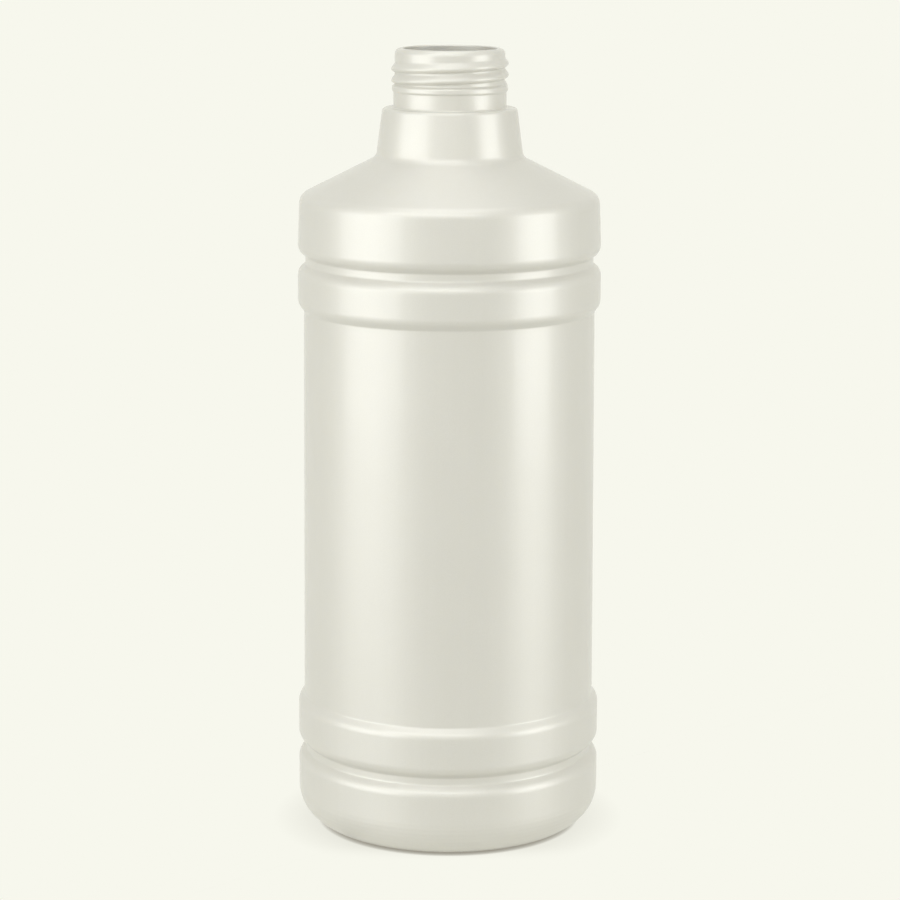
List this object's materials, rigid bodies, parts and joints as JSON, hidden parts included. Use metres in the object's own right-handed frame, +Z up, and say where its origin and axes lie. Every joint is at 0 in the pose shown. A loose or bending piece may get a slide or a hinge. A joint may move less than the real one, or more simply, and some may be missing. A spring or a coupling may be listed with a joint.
{
  "type": "alcohol bottle",
  "caption": "Round blown bottle for rubbing alcohol, with a grooved body, a recessed label panel and a threaded neck, open at the mouth.",
  "frame": {"origin": "centre of the standing ring, on the floor", "axes": "+Z up the bottle's axis to the mouth; +X towards the side where the full thread ends, to the right as the picture shows it; -Y towards the viewer"},
  "size_m": [0.0816, 0.0816, 0.2095],
  "materials": {
    "pearl_plastic": "satin pearlescent white"
  },
  "bodies": {
    "root": {"bottle": "pearl_plastic"}
  },
  "joints": []
}
